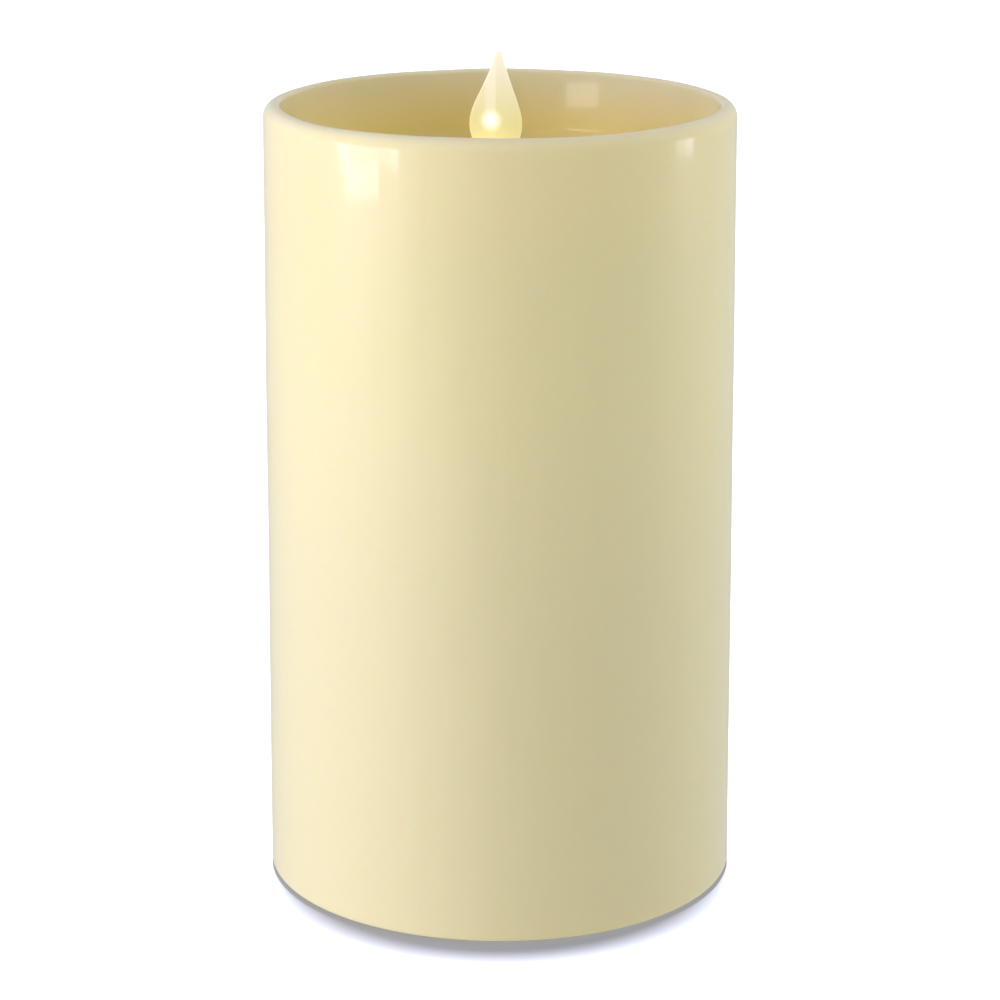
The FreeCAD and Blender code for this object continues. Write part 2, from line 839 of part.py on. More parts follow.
def make_column():
    """The tube that carries the flame module, with a foot flange, a head flange, ribs and lead windows."""
    column = body("support_column")
    bore = d.column_radius - d.column_wall
    foot_top = d.column_bottom + d.column_plate
    revolve(
        column,
        [
            (bore, d.column_bottom),
            (d.column_foot_radius, d.column_bottom),
            (d.column_foot_radius, foot_top),
            (d.column_radius, foot_top),
            (d.column_radius, column_head_bottom),
            (d.column_head_radius, column_head_bottom),
            (d.column_head_radius, d.case_bottom),
            (bore, d.case_bottom),
        ],
    )
    rib_sketch = sketch_on(column, "XZ_Plane")
    inside = d.column_radius - 0.5
    outline(rib_sketch, [(inside, foot_top - 0.5), (d.rib_reach, foot_top - 0.5),
                         (d.rib_reach, foot_top + 2), (inside, d.rib_top)])
    rib = pad(column, rib_sketch, d.rib_thickness, midplane=True)
    pattern = column.newObject("PartDesign::PolarPattern", "Ribs")
    pattern.Originals = [rib]
    pattern.Axis = (origin_feature(column, "Z_Axis"), [""])
    pattern.Angle = 360
    pattern.Occurrences = int(d.rib_count.value)
    pattern.setExpression("Occurrences", d.rib_count.text)
    column.Tip = pattern
    doc.recompute()
    # the ribs at the screws and windows are cut away again
    for side in (-1, 1):
        along = side * d.valley_screw
        round_bar(column, 0, along, d.screw_head + 1.2, foot_top, d.rib_top + 2, cut=True)
        round_bar(column, 0, along, d.screw_hole + 0.2, d.column_bottom - 1, foot_top + 1, cut=True)
        ear = side * (d.case_half_width + d.ear_reach / 2)
        round_bar(column, ear, 0, d.screw_hole, column_head_bottom - 1, d.case_bottom + 1, cut=True)
    half, reach = d.window_width / 2, d.rib_reach + 1
    block(column, -reach, reach, -half, half, foot_top, foot_top + d.window_height, cut=True)


# ---------------------------------------------------------------- flame module

case_bottom_wall = d.case_bottom + d.case_wall
mouth_half = d.case_mouth_width / 2


def make_case_half(label, side):
    """Half of the module's case, split on the plane of the pendulum's wire. side is -1 or +1."""
    half = body(label)

    def span(x0, x1, *rest, **options):
        low, high = ordered(side * Size.of(x0), side * Size.of(x1))
        block(half, low, high, *rest, **options)

    wall, depth, width = d.case_wall, d.case_half_depth, d.case_half_width
    roof_under = d.case_top - wall
    span(ZERO, width, -depth, depth, d.case_bottom, d.case_top)
    span(-1 * wall, width - wall, wall - depth, depth - wall, case_bottom_wall, roof_under, cut=True)
    span(-1 * wall, mouth_half, -d.mouth_front, d.mouth_back, roof_under - 1, d.case_top + 1, cut=True)
    # ears for the screws into the column's head
    ear = width + d.ear_reach
    ear_top = d.case_bottom + d.ear_thickness
    span(width - 0.5, ear, -d.ear_width / 2, d.ear_width / 2, d.case_bottom, ear_top)
    round_bar(half, side * (width + d.ear_reach / 2), 0, d.screw_hole + 0.2,
              d.case_bottom - 1, ear_top + 1, cut=True)
    # lugs at the front and back that the case screws draw together
    for front in (-1, 1):
        y0, y1 = ordered(front * (depth - 0.5), front * (depth + d.lug_reach))
        low, high = d.lug_middle - d.lug_height / 2, d.lug_middle + d.lug_height / 2
        span(ZERO, d.lug_thickness, y0, y1, low, high)
        sketch = sketch_on(half, "YZ_Plane")
        hole = d.screw_hole + 0.2 if side > 0 else d.screw_hole
        circle(sketch, front * (depth + d.lug_reach / 2), d.lug_middle, hole)
        pocket(half, sketch, d.lug_thickness + 1, reverse=side > 0)
    # notches for the pendulum's wire, the lead hole in the floor, and posts under the board
    sketch = sketch_on(half, "XZ_Plane")
    circle(sketch, 0, d.pivot_height, d.wire_radius + 0.03)
    pocket(half, sketch, depth * 2 + 2, midplane=True)
    round_bar(half, 0, 0, d.lead_hole_radius, d.case_bottom - 1, case_bottom_wall + 1, cut=True)
    inset = wall + d.case_post_inset
    for front in (-1, 1):
        round_bar(half, side * (width - inset), front * (depth - inset), d.case_post_radius,
                  case_bottom_wall - 0.2, d.board_bottom)
    soften(half, "Fillet", d.case_corner,
           lambda edge, middle: upright_edge(edge, middle)
           and abs(abs(middle.x) - width.value) < 0.01
           and abs(abs(middle.y) - depth.value) < 0.01)


def make_flame_cap():
    """The collar in the wax floor's hole: a round plate with the flame's slot, on a locating flange."""
    cap = body("flame_cap")
    revolve(
        cap,
        [
            (0, d.case_top),
            (d.cap_flange, d.case_top),
            (d.cap_flange, d.cap_flange_top),
            (d.cap_radius, d.cap_flange_top),
            (d.cap_radius, d.cap_top),
            (0, d.cap_top),
        ],
    )
    sketch = sketch_on(cap, "XY_Plane", d.case_top - 1)
    rectangle(sketch, -d.slot_half_width, d.slot_half_width, -d.slot_front, d.slot_back)
    pocket(cap, sketch, d.cap_top - d.case_top + 2, reverse=True)
    soften(cap, "Fillet", d.slot_corner, upright_edge)
    soften(cap, "Fillet", d.cap_round, ring_edge(d.cap_radius, d.cap_top))
    top, rim = d.cap_top.value, (d.cap_radius - d.cap_round).value
    soften(cap, "Fillet", d.cap_round,
           lambda _edge, middle: abs(middle.z - top) < 0.01 and math.hypot(middle.x, middle.y) < rim - 0.1)


def leaf_outline():
    """The leaf's face in the XZ plane: a teardrop, nearly straight above its belly, round below it."""
    tip, belly, foot = d.flame_tip.value, d.flame_belly.value, d.flame_foot.value
    rise, drop = tip - belly, belly - foot
    tip_shift, shift = d.flame_tip_shift.value, d.flame_shift.value
    width, tip_half = d.flame_width.value / 2, d.flame_tip_round.value
    # height, half width and sideways shift of the middle, from the tip down to the stem
    stations = [
        (tip - 0.75 * tip_half, tip_half, tip_shift),
        (tip - rise * 0.25, width * 0.305, tip_shift * 1.25),
        (tip - rise * 0.53, width * 0.61, shift * 0.74),
        (tip - rise * 0.79, width * 0.90, shift),
        (belly, width, shift),
        (belly - drop * 0.37, width * 0.89, shift * 0.9),
        (belly - drop * 0.72, width * 0.61, shift * 0.55),
        (foot, d.stem_width.value / 2, 0),
    ]
    edges = []
    for sign in (-1, 1):
        points = [Vector(middle + sign * half, 0, z) for z, half, middle in stations]
        curve = Part.BSplineCurve()
        curve.interpolate(points)
        edges.append(curve.toShape())
    ends = [
        [Vector(middle - half, 0, z), Vector(middle + half, 0, z)]
        for z, half, middle in (stations[0], stations[-1])
    ]
    edges.append(Part.Arc(ends[0][0], Vector(tip_shift, 0, tip), ends[0][1]).toShape())
    edges.append(Part.LineSegment(*ends[1]).toShape())
    return Part.Face(Part.Wire(Part.__sortEdges__(edges)))


def make_flame_leaf():
    """The translucent leaf, ridged down its middle, with its stem, pivot eye and magnet seat."""
    tip, foot, ridge = d.flame_tip.value, d.flame_foot.value, d.leaf_ridge.value / 2
    blank = leaf_outline().extrude(Vector(0, 2 * ridge, 0))
    blank.translate(Vector(0, -ridge, 0))
    edge, middle = d.leaf_edge.value / 2, d.flame_shift.value
    reach = d.flame_width.value / 2 + 0.5
    front = [(middle - reach, -edge), (middle, -ridge), (middle + reach, -edge)]
    back = [(x, -y) for x, y in reversed(front)]
    corners = [Vector(x, y, foot - 1) for x, y in front + back + front[:1]]
    roof = Part.Face(Part.makePolygon(corners)).extrude(Vector(0, 0, tip - foot + 2))
    half, thick = d.stem_width.value / 2, d.stem_thickness.value
    pivot, seat = d.pivot_height.value, d.magnet_top.value
    # the stem runs up into the leaf, and its sides lean in there to stay inside the leaf's faces
    stem = Part.makeBox(2 * half, thick, foot + 0.6 - seat - 0.5, Vector(-half, -thick / 2, seat + 0.5))
    eye = Part.makeCylinder(d.eye_boss.value, thick, Vector(0, -thick / 2, pivot), Y_AXIS)
    bore = Part.makeCylinder(d.eye_radius.value, 4, Vector(0, -2, pivot), Y_AXIS)
    blade = blank.common(roof).fuse([stem, eye]).cut(bore).Solids[0]
    # the magnet and its seat stand a little off the middle, so that the leaf hangs plumb
    magnet = d.magnet_density.value * math.pi * d.magnet_radius.value**2 * d.magnet_length.value
    offset = -d.leaf_density.value * blade.Volume * blade.CenterOfMass.x / magnet
    seat_disc = Part.makeCylinder(d.magnet_radius.value, 1, Vector(offset, 0, seat))
    leaf = keep(doc.addObject("Part::Feature", "Leaf"), "flame_leaf")
    leaf.Shape = blade.fuse(seat_disc).removeSplitter()
    magnet_bottom = d.magnet_top - d.magnet_length
    keep(cylinder(d.magnet_radius, d.magnet_length, round(offset, 2), 0, magnet_bottom), "pendulum_magnet")


def make_pivot_wire():
    reach = d.case_half_depth - 0.4
    keep(cylinder(d.wire_radius, reach * 2, 0, -reach, d.pivot_height, TO_PLUS_Y), "pivot_wire")


def make_coil():
    """The drive coil under the magnet: flanged bobbin and its copper winding."""
    low = d.board_bottom + d.board_thickness
    high = low + d.coil_height
    bobbin = body("coil_bobbin")
    core, rim, flange = d.coil_core, d.coil_radius, d.coil_flange
    revolve(
        bobbin,
        [
            (d.coil_bore, low),
            (rim, low),
            (rim, low + flange),
            (core, low + flange),
            (core, high - flange),
            (rim, high - flange),
            (rim, high),
            (d.coil_bore, high),
        ],
    )
    winding = body("coil_winding")
    revolve(
        winding,
        [
            (core, low + flange),
            (rim - 0.6, low + flange),
            (rim - 0.6, high - flange),
            (core, high - flange),
        ],
    )


def make_board():
    """The driver board with its chip, capacitor and two resistors."""
    half_width, half_depth = d.board_half_width, d.board_half_depth
    top = d.board_bottom + d.board_thickness
    board = body("circuit_board")
    block(board, -half_width, half_width, -half_depth, half_depth, d.board_bottom, top)
    for side in (-1, 1):
        round_bar(board, side * d.leg_pitch / 2, lead_foot, 0.45, d.board_bottom - 1, top + 1, cut=True)
    chip = fuse(box(7.4, 11.2, -2.5, 2.5, top + 0.15, top + 1.7),
                *[box(x0, x1, y - 0.2, y + 0.2, top, top + 0.5)
                  for y in (-1.9, -0.63, 0.63, 1.9)
                  for x0, x1 in ((6.6, 7.5), (11.1, 12.0))])
    keep(chip, "controller_chip")
    keep(fuse(cylinder(2.5, 6, -9.6, 0, top + 0.4), cylinder(2.2, 0.6, -9.6, 0, top)), "capacitor")
    resistors = [box(x, x + 2, 8, 9.25, top, top + 0.6) for x in (-3.2, 1.2)]
    keep(group(*resistors), "resistors")


# the lamp's axis leans back towards the leaf's belly
lamp_lean = math.tan(math.radians(d.lamp_tilt.value))
lamp_tip_y = -(d.flame_belly - d.lamp_tip) * lamp_lean
lamp_sine = math.sin(math.radians(d.lamp_tilt.value))
lamp_cosine = math.cos(math.radians(d.lamp_tilt.value))
lamp_base_y = lamp_tip_y - d.lamp_length * lamp_sine
lamp_base_z = d.lamp_tip - d.lamp_length * lamp_cosine
lead_foot = lamp_base_y - 0.5
LAMP_TURN = Rotation(X_AXIS, -d.lamp_tilt.value)


def make_lamp():
    """A round 5 mm light-emitting diode, leaning so that its beam meets the leaf's belly."""
    def along(distance):
        return (0, lamp_base_y + distance * lamp_sine, lamp_base_z + distance * lamp_cosine)

    dome_start = d.lamp_length - d.lamp_radius
    rim = cylinder(d.lamp_rim, d.lamp_rim_thickness, *along(ZERO), LAMP_TURN)
    barrel = cylinder(d.lamp_radius, dome_start, *along(ZERO), LAMP_TURN)
    dome = sphere(d.lamp_radius, *along(dome_start))
    keep(fuse(rim, barrel, dome), "led_lamp")

    # the holder: a block bored for the lamp, fixed to the case's front wall
    front = d.case_half_depth - d.case_wall
    half = d.holder_half_width
    blank = box(-half, half, -front, lamp_base_y + 4.4, lamp_base_z + 1.6, lamp_base_z + 4.6)
    bore = cylinder(d.lamp_radius + 0.05, d.lamp_length + 4, *along(Size.of(-2)), LAMP_TURN)
    rim_room = cylinder(d.lamp_rim + 0.05, Size.of(3.5), *along(Size.of(-2.2)), LAMP_TURN)
    keep(cut(blank, bore, rim_room), "led_holder")


def rounded_path(points, radius):
    """Straight runs joined by tangent arcs, each as large as its two runs allow up to radius."""
    edges, start = [], points[0]
    for before, corner, after in zip(points, points[1:], points[2:]):
        into, out = corner - before, after - corner
        run = min(into.Length, out.Length)
        half_turn = into.getAngle(out) / 2
        bend = min(radius, 0.45 * run / math.tan(half_turn))
        cut_back = bend * math.tan(half_turn)
        into.normalize()
        out.normalize()
        first, last = corner - into * cut_back, corner + out * cut_back
        inward = out - into
        inward.normalize()
        middle = corner + inward * (bend / math.cos(half_turn) - bend)
        edges.append(Part.LineSegment(start, first).toShape())
        edges.append(Part.Arc(first, middle, last).toShape())
        start = last
    edges.append(Part.LineSegment(start, points[-1]).toShape())
    return Part.Wire(edges)


def tube(label, points, radius, bend):
    """An insulated lead or a round wire along a route of points."""
    path = rounded_path([Vector(*p) for p in points], bend)
    direction = Vector(*points[1]) - Vector(*points[0])
    section = Part.Wire([Part.makeCircle(radius, Vector(*points[0]), direction)])
    solid = path.makePipeShell([section], True, False)
    expected = math.pi * radius**2 * path.Length
    if abs(solid.Volume / expected - 1) > 0.01:
        raise RuntimeError(f"{label}: the tube's volume is not its section times its length")
    print(f"{label}: {path.Length:.1f} mm long")
    lead = doc.addObject("Part::Feature", "Lead")
    lead.Shape = solid
    return keep(lead, label) if label else lead


def make_lamp_legs():
    """The lamp's two legs: along its axis, then straight down through the board."""
    base_y, base_z = lamp_base_y.value, lamp_base_z.value
    foot_y = lead_foot.value
    legs = []
    for side in (-1, 1):
        x = side * d.leg_pitch.value / 2
        points = [
            Vector(x, base_y, base_z),
            Vector(x, base_y - 2 * lamp_sine, base_z - 2 * lamp_cosine),
            Vector(x, foot_y, base_z - 5),
            Vector(x, foot_y, d.board_bottom.value - 0.8),
        ]
        path = rounded_path(points, 2.0)
        section = Part.Wire([Part.makeCircle(d.leg_radius.value, points[0], points[1] - points[0])])
        leg = doc.addObject("Part::Feature", "Leg")
        leg.Shape = path.makePipeShell([section], True, False)
        legs.append(leg)
    keep(group(*legs), "led_legs")


def make_leads():
    """The three insulated leads, from the contacts' tabs past the switch to the driver board."""
    radius = d.lead_radius.value
    tab_x = d.cell_spacing.value / 2
    tab_y = -plus_wall.value + d.contact_thickness.value / 2
    tab_z = d.tab_top.value
    across, pin_pitch = d.switch_across.value, d.pin_pitch.value
    pin_top = (d.switch_bottom + d.switch_tall + d.pin_length).value
    board = d.board_bottom.value
    window = (d.column_bottom + d.column_plate).value + 4.5
    bend = d.lead_bend.value
    tube(
        "lead_negative",
        [
            (-tab_x, tab_y, tab_z),
            (-tab_x, tab_y, tab_z + 5),
            (-tab_x - 7, tab_y + 9, tab_z + 9),
            (-tab_x - 10, tab_y + 20, tab_z + 7),
            (-24, 0, window + 2),
            (-13, 0, window),
            (-5, 0, window + 8),
            (-3.5, 1, window + 24),
            (-4.5, -1, window + 44),
            (-2.4, 0, board - 9),
            (-2.4, 0, board),
        ],
        radius,
        bend,
    )
    tube(
        "lead_positive",
        [
            (tab_x, tab_y, tab_z),
            (tab_x, tab_y, tab_z + 5),
            (tab_x + 8, tab_y + 1, tab_z + 6),
            (tab_x + 17, tab_y + 6, tab_z - 2),
            (tab_x + 22, tab_y + 13, 24),
            (across, -pin_pitch, 19),
            (across, -pin_pitch, pin_top),
        ],
        radius,
        bend,
    )
    tube(
        "lead_switched",
        [
            (across, 0, pin_top),
            (across, 0, pin_top + 5),
            (across - 1, 3, pin_top + 13),
            (across - 3, 4, window - 6),
            (across - 8, 3, window + 1),
            (across - 16, 0, window + 2),
            (13, 0, window),
            (5, 0, window + 8),
            (3.5, -1, window + 24),
            (4.5, 1, window + 44),
            (2.4, 0, board - 9),
            (2.4, 0, board),
        ],
        radius,
        bend,
    )


# ---------------------------------------------------------------- assembly


def make_screws():
    foot_top = d.column_bottom + d.column_plate
    keep(group(*[screw(0, side * d.valley_screw, foot_top, 6) for side in (-1, 1)]), "column_screws")
    ear = d.case_half_width + d.ear_reach / 2
    ear_top = d.case_bottom + d.ear_thickness
    keep(group(*[screw(side * ear, 0, ear_top, 4.5) for side in (-1, 1)]), "module_screws")
    lug = d.case_half_depth + d.lug_reach / 2
    keep(group(*[screw(d.lug_thickness, side * lug, d.lug_middle, 5.8, TO_PLUS_X) for side in (-1, 1)]),
         "case_screws")
    ear_top = d.switch_bottom + d.switch_ear
    keep(group(*[screw(d.switch_across, side * switch_screw_along, ear_top, 2.3) for side in (-1, 1)]),
         "switch_screws")


make_wax_shell()
make_base()
make_door()
make_feet()
make_cells()
make_contacts()
conical_spring("spring_negative", -d.cell_spacing / 2, -1)
conical_spring("spring_link", d.cell_spacing / 2, 1)
make_switch()
make_column()
make_case_half("module_case_left", -1)
make_case_half("module_case_right", 1)
make_flame_cap()
make_flame_leaf()
make_pivot_wire()
make_coil()
make_board()
make_lamp()
make_lamp_legs()
make_leads()
make_screws()
doc.recompute()

# ---------------------------------------------------------------- checks and export

for obj in doc.Objects:
    if "Invalid" in obj.State or "Error" in obj.State:
        raise RuntimeError(f"{obj.Label} failed: {obj.State}")
os.makedirs("parts", exist_ok=True)
for part in subparts:
    if part.Shape.isNull() or not part.Shape.isValid() or not part.Shape.Solids:
        raise RuntimeError(f"{part.Label} has no valid solid")
for part in subparts:
    part.Shape.exportStep(os.path.join("parts", part.Label + ".step"))
print(len(subparts), "sub-parts written")
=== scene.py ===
"""Looks of the flameless LED candle: a glossy ivory wax pillar with a lit, ridged flame leaf.

Metres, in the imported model's own frame: +Z up, the front is -Y. Every CAD node keeps its place. The
wax is replaced by a finer mesh, the leaf gets a bevelled border, and every piece gets a procedural
material.
"""

import math

import bpy
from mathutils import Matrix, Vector, noise


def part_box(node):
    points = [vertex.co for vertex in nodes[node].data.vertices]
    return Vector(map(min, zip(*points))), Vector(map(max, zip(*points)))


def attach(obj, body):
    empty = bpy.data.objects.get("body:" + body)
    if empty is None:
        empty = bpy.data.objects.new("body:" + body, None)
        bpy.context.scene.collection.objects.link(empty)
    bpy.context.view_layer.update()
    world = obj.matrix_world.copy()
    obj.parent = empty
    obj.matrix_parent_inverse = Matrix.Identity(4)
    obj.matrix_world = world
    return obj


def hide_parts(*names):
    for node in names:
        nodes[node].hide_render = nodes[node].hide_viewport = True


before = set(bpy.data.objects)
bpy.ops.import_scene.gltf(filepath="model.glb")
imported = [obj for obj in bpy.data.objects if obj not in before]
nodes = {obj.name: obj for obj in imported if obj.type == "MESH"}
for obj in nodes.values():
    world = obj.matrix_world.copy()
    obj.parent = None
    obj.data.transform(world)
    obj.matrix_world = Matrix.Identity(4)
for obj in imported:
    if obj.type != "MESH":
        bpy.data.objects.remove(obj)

MM = 0.001
TURN = 2 * math.pi
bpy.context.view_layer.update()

# ---------------------------------------------------------------- sizes, read from the frame

wax_low, wax_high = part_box("wax_shell")
leaf_low, leaf_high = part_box("flame_leaf")
lamp_low, lamp_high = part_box("led_lamp")

WAX_RADIUS = wax_high.x
RIM_HEIGHT = wax_high.z
WAX_FOOT = wax_low.z
WAX_WALL = 3.7 * MM
WAX_FLOOR = 5 * MM
WAX_BORE = WAX_RADIUS - WAX_WALL
RIM_RADIUS = WAX_RADIUS - 1.0 * MM
RIM_BORE = RIM_RADIUS - WAX_WALL
RECESS_DEPTH = 19 * MM
RECESS_DISH = 1.5 * MM
RECESS_FLOOR = RIM_HEIGHT - RECESS_DEPTH
HOLE_TOP = RECESS_FLOOR - RECESS_DISH
HOLE_RADIUS = 12 * MM
WAX_UNDERSIDE = HOLE_TOP - WAX_FLOOR
LEAF_BELLY = leaf_high.z - 15.5 * MM
# the leaf's upright ridge, and the middle of the lamp's spot on it
RIDGE = -0.9 * MM
SPOT = (-1.9 * MM, -1.0 * MM, leaf_high.z - 14.5 * MM)

# ---------------------------------------------------------------- node helpers


class Material:
    """A Principled material with short calls for the procedural nodes that feed it."""

    def __init__(self, name, **constants):
        self.material = bpy.data.materials.new(name)
        self.material.use_nodes = True
        self.tree = self.material.node_tree
        self.shader = self.tree.nodes["Principled BSDF"]
        for socket, value in constants.items():
            self.shader.inputs[socket.replace("_", " ")].default_value = value
        self.coordinates = self.node("ShaderNodeTexCoord").outputs["Object"]

    def node(self, kind, **settings):
        made = self.tree.nodes.new(kind)
        for key, value in settings.items():
            setattr(made, key, value)
        return made

    def link(self, source, target):
        self.tree.links.new(source, target)

    def put(self, target, value):
        """Links an output to a socket, or sets the socket's own value."""
        if isinstance(value, bpy.types.NodeSocket):
            self.link(value, target)
        else:
            target.default_value = value

    def stretched(self, scale):
        """Object coordinates scaled by a different amount along each axis."""
        mapping = self.node("ShaderNodeMapping")
        mapping.inputs["Scale"].default_value = scale
        self.link(self.coordinates, mapping.inputs["Vector"])
        return mapping.outputs["Vector"]

    def noise(self, scale, detail=2.0, roughness=0.5, vector=None):
        texture = self.node("ShaderNodeTexNoise")
        texture.inputs["Scale"].default_value = scale
        texture.inputs["Detail"].default_value = detail
        texture.inputs["Roughness"].default_value = roughness
        self.link(vector or self.coordinates, texture.inputs["Vector"])
        return texture.outputs["Fac"]

    def axis(self, name):
        """The object's own X, Y or Z coordinate."""
        split = self.node("ShaderNodeSeparateXYZ")
        self.link(self.coordinates, split.inputs["Vector"])
        return split.outputs[name]

    def from_axis(self):
        """How far the shaded point is from the object's own Z axis."""
        made = self.node("ShaderNodeVectorMath", operation="LENGTH")
        self.link(self.stretched((1, 1, 0)), made.inputs[0])
        return made.outputs["Value"]

    def math(self, operation, a, b=0.0):
        made = self.node("ShaderNodeMath", operation=operation)
        self.put(made.inputs[0], a)
        self.put(made.inputs[1], b)
        return made.outputs["Value"]

    def ramp(self, value, low, high, start=0.0, end=1.0, smooth=True):
        """Maps value from low..high to start..end, clamped."""
        made = self.node("ShaderNodeMapRange")
        made.interpolation_type = "SMOOTHSTEP" if smooth else "LINEAR"
        self.put(made.inputs["Value"], value)
        limits = {"From Min": low, "From Max": high, "To Min": start, "To Max": end}
        for socket, number in limits.items():
            made.inputs[socket].default_value = number
        return made.outputs["Result"]

    def spread(self, value, start=0.0, end=1.0):
        """Stretches the middle of a noise's range over start..end."""
        return self.ramp(value, 0.3, 0.7, start, end)

    def mix(self, factor, a, b):
        """A colour between a and b."""
        made = self.node("ShaderNodeMix", data_type="RGBA")
        self.put(made.inputs["Factor"], factor)
        self.put(made.inputs["A"], a)
        self.put(made.inputs["B"], b)
        return made.outputs["Result"]

    def distance(self, point):
        """How far the shaded point is from a fixed point of the object."""
        made = self.node("ShaderNodeVectorMath", operation="DISTANCE")
        self.link(self.coordinates, made.inputs[0])
        made.inputs[1].default_value = point
        return made.outputs["Value"]

    def colour(self, value):
        self.put(self.shader.inputs["Base Color"], value)

    def bump(self, height, strength, distance):
        made = self.node("ShaderNodeBump")
        made.inputs["Strength"].default_value = strength
        made.inputs["Distance"].default_value = distance
        self.link(height, made.inputs["Height"])
        self.link(made.outputs["Normal"], self.shader.inputs["Normal"])


def rgb(red, green, blue):
    return (red, green, blue, 1.0)


def tinted(colour, factor):
    return rgb(*[min(1.0, channel * factor) for channel in colour[:3]])


# ---------------------------------------------------------------- materials


def wax_material():
    """Poured paraffin: glossy, cloudy inside, warmer where it is thin; painted shade darkens its
    lower part and the recess wall, and painted light makes the rim paler and the recess golden
    towards its floor.
    """
    wax = Material(
        "wax",
        Subsurface_Weight=0.35,
        Subsurface_Radius=(1.0, 0.62, 0.28),
        Subsurface_Scale=5 * MM,
        Roughness=0.32,
        IOR=1.44,
        Coat_Weight=0.6,
        Coat_Roughness=0.06,
        Coat_IOR=1.45,
    )
    cloud = wax.noise(14, detail=1.0)
    pale, deep = rgb(0.835, 0.75, 0.415), rgb(0.815, 0.727, 0.375)
    poured = wax.mix(wax.ramp(cloud, 0.2, 0.8, smooth=False), pale, deep)
    height = wax.axis("Z")
    # lower down the pillar the wax is painted a little darker and greyer: painted shade
    poured = wax.mix(wax.ramp(height, 125 * MM, 60 * MM), poured, rgb(0.785, 0.71, 0.40))
    # the rim's edge is painted paler: painted light on the lip
    edge = wax.ramp(height, RIM_HEIGHT - 2.5 * MM, RIM_HEIGHT)
    poured = wax.mix(edge, poured, rgb(0.84, 0.77, 0.50))
    # inside the recess the wax is painted darker and greyer, painted shade, and painted golden
    # towards the floor, the lamp's light painted on
    inside = wax.ramp(wax.from_axis(), RIM_BORE + 0.5 * MM, RIM_BORE - 0.1 * MM)
    depth = wax.ramp(height, RIM_HEIGHT - 1 * MM, RIM_HEIGHT - 13 * MM, smooth=False)
    recess = wax.mix(depth, rgb(0.67, 0.625, 0.425), rgb(0.83, 0.71, 0.29))
    wax.colour(wax.mix(inside, poured, recess))
    # the mould's soft dents, ripples and fine upright draw lines, with a faint bloom over them
    dents = wax.noise(1.0, detail=1.0, vector=wax.stretched((70, 70, 45)))
    ripple = wax.noise(1.0, detail=2.0, vector=wax.stretched((160, 160, 16)))
    lines = wax.noise(1.0, detail=2.0, vector=wax.stretched((620, 620, 28)))
    bloom = wax.noise(1600, detail=1.0)
    relief = dents
    for layer, share in ((ripple, 0.5), (lines, 0.08), (bloom, 0.02)):
        relief = wax.math("ADD", relief, wax.math("MULTIPLY", layer, share))
    wax.bump(relief, 0.5, 0.5 * MM)
    return wax.material


def leaf_material(name, glow, base, pallor):
    """Frosted translucent plastic, lit from below, with that light painted on as glow: a painted hot
    spot on its belly, a painted paler left facet.
    """
    leaf = Material(
        name,
        Subsurface_Weight=0.5,
        Subsurface_Radius=(1.0, 0.8, 0.5),
        Subsurface_Scale=2 * MM,
        IOR=1.5,
        Roughness=0.3,
    )
    leaf.colour(leaf.mix(leaf.spread(leaf.noise(220)), base, tinted(base, 0.96)))
    sideways, height = leaf.axis("X"), leaf.axis("Z")
    # painted glow, paler and brighter towards the tip
    upward = leaf.ramp(height, LEAF_BELLY, leaf_high.z, smooth=False)
    # painted hot spot where the lamp's beam falls on the belly
    hot = leaf.ramp(leaf.distance(SPOT), 3.0 * MM, 0.5 * MM)
    # painted light: the left facet paler, as lit from the left
    facet = leaf.ramp(sideways, -3.6 * MM, -2.6 * MM)
    ridge_edge = (sideways, RIDGE + 0.1 * MM, RIDGE - 0.1 * MM)
    spot_edge = (height, SPOT[2], SPOT[2] + 1.6 * MM)
    for edge, low, high in (ridge_edge, spot_edge):
        facet = leaf.math("MULTIPLY", facet, leaf.ramp(edge, low, high))
    tone = leaf.mix(upward, rgb(0.94, 0.875, 0.37), rgb(1.0, 0.96, 0.88))
    tone = leaf.mix(leaf.math("MULTIPLY", facet, 0.5), tone, rgb(1.0, 0.92, 0.78))
    # on the border the glow is painted paler: a painted highlight round the edge
    tone = leaf.mix(pallor, tone, rgb(1.0, 0.95, 0.80))
    tone = leaf.mix(hot, tone, rgb(1.0, 0.98, 0.93))
    leaf.link(tone, leaf.shader.inputs["Emission Color"])
    strength = leaf.ramp(upward, 0.0, 1.0, glow * 0.92, glow * 1.25, smooth=False)
    strength = leaf.math("ADD", strength, leaf.math("MULTIPLY", hot, 0.34))
    strength = leaf.math("ADD", strength, leaf.math("MULTIPLY", facet, 0.06))
    leaf.link(strength, leaf.shader.inputs["Emission Strength"])
    return leaf.material


def plastic_material(name, colour, roughness=0.45, grain=900, depth=0.03):
    """Moulded plastic: a fine spark-eroded grain and a slight unevenness of tone."""
    plastic = Material(name, IOR=1.49)
    tone = plastic.spread(plastic.noise(60, detail=3.0))
    plastic.colour(plastic.mix(tone, colour, tinted(colour, 0.93)))
    fine = plastic.noise(grain, detail=2.0)
    uneven_gloss = plastic.spread(fine, roughness, roughness + 0.1)
    plastic.put(plastic.shader.inputs["Roughness"], uneven_gloss)
    plastic.bump(fine, 0.4, depth * MM)
    return plastic.material


def clear_material():
    """The lamp's water-clear epoxy, glowing warm from the chip at its heart."""
    heart = (lamp_low + lamp_high) / 2
    clear = Material("lamp_epoxy", Roughness=0.08, IOR=1.54, Transmission_Weight=0.35)
    haze = clear.spread(clear.noise(300))
    clear.colour(clear.mix(haze, rgb(0.96, 0.93, 0.82), rgb(0.92, 0.88, 0.74)))
    core = clear.ramp(clear.distance(heart), 5 * MM, 1 * MM)
    warmth = clear.mix(core, rgb(1.0, 0.72, 0.30), rgb(1.0, 0.90, 0.62))
    clear.link(warmth, clear.shader.inputs["Emission Color"])
    clear.link(clear.ramp(core, 0.0, 1.0, 2.0, 6.0), clear.shader.inputs["Emission Strength"])
    return clear.material


